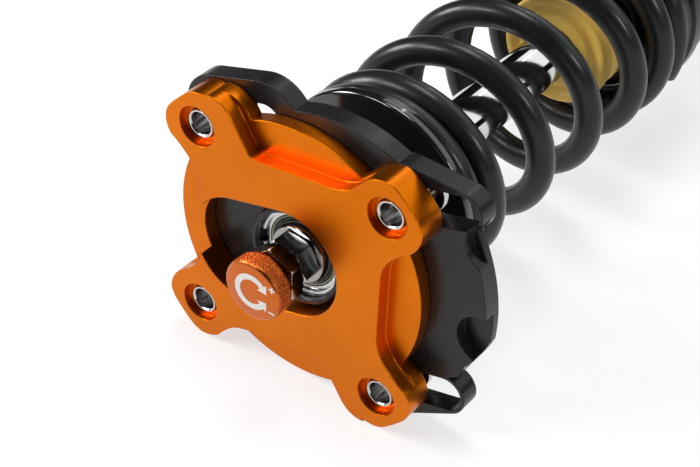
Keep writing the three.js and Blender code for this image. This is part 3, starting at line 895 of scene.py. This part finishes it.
def spanner_ring(name, radius, z0, z1):
    """A threaded ring with slots round its rim for a hook spanner."""
    chamfer, slots, deep, half = 1.2, 6, 3.2, 3.2
    corners = [(TUBE_R + GAP, z0), (radius - chamfer, z0, 0.6), (radius, z0 + chamfer, 0.6),
               (radius, z1 - chamfer, 0.6), (radius - chamfer, z1, 0.6), (TUBE_R + GAP, z1)]
    cutters = []
    for i in range(slots):
        outline = [(radius - deep, -half), (radius + 3, -half), (radius + 3, half), (radius - deep, half)]
        notch = prism(outline, z0 - 1, z1 + 1)
        notch.transform(Matrix.Rotation(2 * math.pi * i / slots, 4, "Z"))
        cutters.append(notch)
    bm = carved(revolve(rounded(corners, 0.3), 144), ("DIFFERENCE", cutters))
    return finished(name, softened(bm, 0.35, 0.4, 50), flat=True)


fitted(lower_seat(), "seat", "black_anodised", "lower_seat")
fitted(spanner_ring("seat_ring_fine", 39, -257, -244.3), "seat_ring", "black_anodised", "seat_ring")
fitted(spanner_ring("seat_lock_ring_fine", 38, -267, -257.3), "seat_lock_ring", "orange_anodised",
       "seat_lock_ring")
fitted(spanner_ring("bracket_lock_ring_fine", 37, -349.7, -338), "damper_body", "orange_anodised",
       "bracket_lock_ring")


# ---------------------------------------------------------------- knuckle bracket
def knuckle_bracket():
    def sideways(bm, x0):
        """A prism drawn in (y, z) and raised along x, put at x0."""
        turn = Matrix(((0, 0, 1, 0), (1, 0, 0, 0), (0, 1, 0, 0), (0, 0, 0, 1)))
        bm.transform(Matrix.Translation((x0, 0, 0)) @ turn)
        return bm

    floor_y = -AXIS_HEIGHT
    outline = [(-8, EAR_FOOT_Z), (floor_y + 8, EAR_FOOT_Z), (floor_y, EAR_FOOT_Z + 8),
               (floor_y, EAR_TOP_Z - 14), (-30, EAR_TOP_Z), (-8, EAR_TOP_Z)]
    ears = [sideways(prism(outline, 0, EAR_T), x0) for x0 in (EAR_X, -EAR_X - EAR_T)]
    web = sideways(prism([(-33, EAR_FOOT_Z), (-27.5, EAR_FOOT_Z), (-27.5, EAR_TOP_Z), (-33, EAR_TOP_Z)],
                         0, 2 * EAR_X + 2), -EAR_X - 1)
    bolts = [
        sideways(prism(circle(KNUCKLE_BOLT_Y, z, KNUCKLE_BOLT_R, 64), 0, 120), -60)
        for z in KNUCKLE_BOLTS_Z
    ]
    socket = revolve([(24, -350), (32.4, -350), (33.6, -351.2), (33.6, -448), (32.4, -449.2),
                      (24, -449.2)], 144)
    inner = revolve([(0, -470), (TUBE_R + GAP, -470), (TUBE_R + GAP, -340), (0, -340)], 144)
    bm = carved(socket, ("UNION", [*ears, web]), ("DIFFERENCE", [inner, *bolts]), weld=0.05)
    return finished("knuckle_bracket_fine", bm)


fitted(knuckle_bracket(), "damper_body", "black_steel", "knuckle_bracket")

# ---------------------------------------------------------------- CAD nodes that stay, with their finishes
slot_of = {part["node"]: part["material_slot"] for part in frame["record"]["subparts"]}
for name, node in frame["nodes"].items():
    node.data.materials.clear()
    node.data.materials.append(MATERIALS[slot_of[name]]())


# ---------------------------------------------------------------- studio
def area(name, place, aim, size, power):
    """A white softbox at a place in metres, turned towards aim."""
    light = bpy.data.lights.new(name, "AREA")
    light.shape = "RECTANGLE"
    light.size, light.size_y = size
    light.energy = power
    lamp = bpy.data.objects.new(name, light)
    lamp.location = place
    lamp.rotation_euler = (Vector(aim) - Vector(place)).to_track_quat("-Z", "Y").to_euler()
    bpy.context.scene.collection.objects.link(lamp)


def studio_floor():
    """White paper just under the strut, with a glow of its own that keeps it white."""
    bm = bmesh.new()
    bmesh.ops.create_grid(bm, x_segments=8, y_segments=8, size=6)
    mesh = bpy.data.meshes.new("floor")
    bm.to_mesh(mesh)
    bm.free()
    floor = bpy.data.objects.new("floor", mesh)
    floor.location.z = -0.0002
    bpy.context.scene.collection.objects.link(floor)
    n = Nodes("floor_paper")
    colour = n.mix(n.ramp(n.noise(3, 2), 0, 1), rgb(0.36, 0.36, 0.36), rgb(0.38, 0.38, 0.38))
    n.set(Emission_Color=rgb(1, 1, 1), Emission_Strength=0.67)
    floor.data.materials.append(n.set(Base_Color=colour, Roughness=0.9, Specular_IOR_Level=0.1))


def sky():
    """A pale studio: bright overhead, greyer towards the walls."""
    world = bpy.data.worlds.new("studio")
    bpy.context.scene.world = world
    world.use_nodes = True
    tree = world.node_tree
    place = tree.nodes.new("ShaderNodeTexCoord").outputs["Generated"]
    split = tree.nodes.new("ShaderNodeSeparateXYZ")
    tree.links.new(place, split.inputs[0])
    ramp = tree.nodes.new("ShaderNodeMapRange")
    tree.links.new(split.outputs["Z"], ramp.inputs["Value"])
    ramp.inputs["From Min"].default_value = 0.0
    ramp.inputs["From Max"].default_value = 0.9
    ramp.inputs["To Min"].default_value = 0.07
    ramp.inputs["To Max"].default_value = 0.38
    tree.links.new(ramp.outputs["Result"], tree.nodes["Background"].inputs["Strength"])


def camera():
    """The photo's viewpoint: its place in the strut's frame, and its axes in the frame's own."""
    data = bpy.data.cameras.new("camera")
    data.sensor_width = 36
    data.lens = 92.53
    data.clip_start, data.clip_end = 0.05, 50
    eye = bpy.data.objects.new("camera", data)
    right = (0.80059, 0.59815, 0.03567)
    up = (-0.39595, 0.48341, 0.78073)
    back = (0.44975, -0.63917, 0.62385)
    turn = Matrix((right, up, back)).transposed().to_4x4()
    eye.matrix_world = Matrix.Translation(STRUT @ Vector((310.486, 420.405, 402.152))) @ turn
    bpy.context.scene.collection.objects.link(eye)
    bpy.context.scene.camera = eye


studio_floor()
sky()
camera()
area("overhead", (-0.15, 0.1, 1.3), (0, 0, 0.05), (0.4, 0.6), 7)
area("front", (-0.7, -1.1, 1.0), (0, -0.1, 0.05), (0.5, 0.35), 7)
area("left", (-1.35, -0.75, 0.75), (0, 0, 0.05), (0.5, 0.5), 20)
area("right", (1.5, -0.1, 0.9), (0, -0.1, 0.05), (0.3, 0.4), 7)
area("back", (0.35, 1.0, 0.95), (0, -0.1, 0.05), (2.3, 1.0), 10)
area("strip", (-0.25, 1.0, 1.0), (0, 0, 0.08), (0.05, 0.9), 1)
bpy.context.scene.view_settings.view_transform = "Standard"
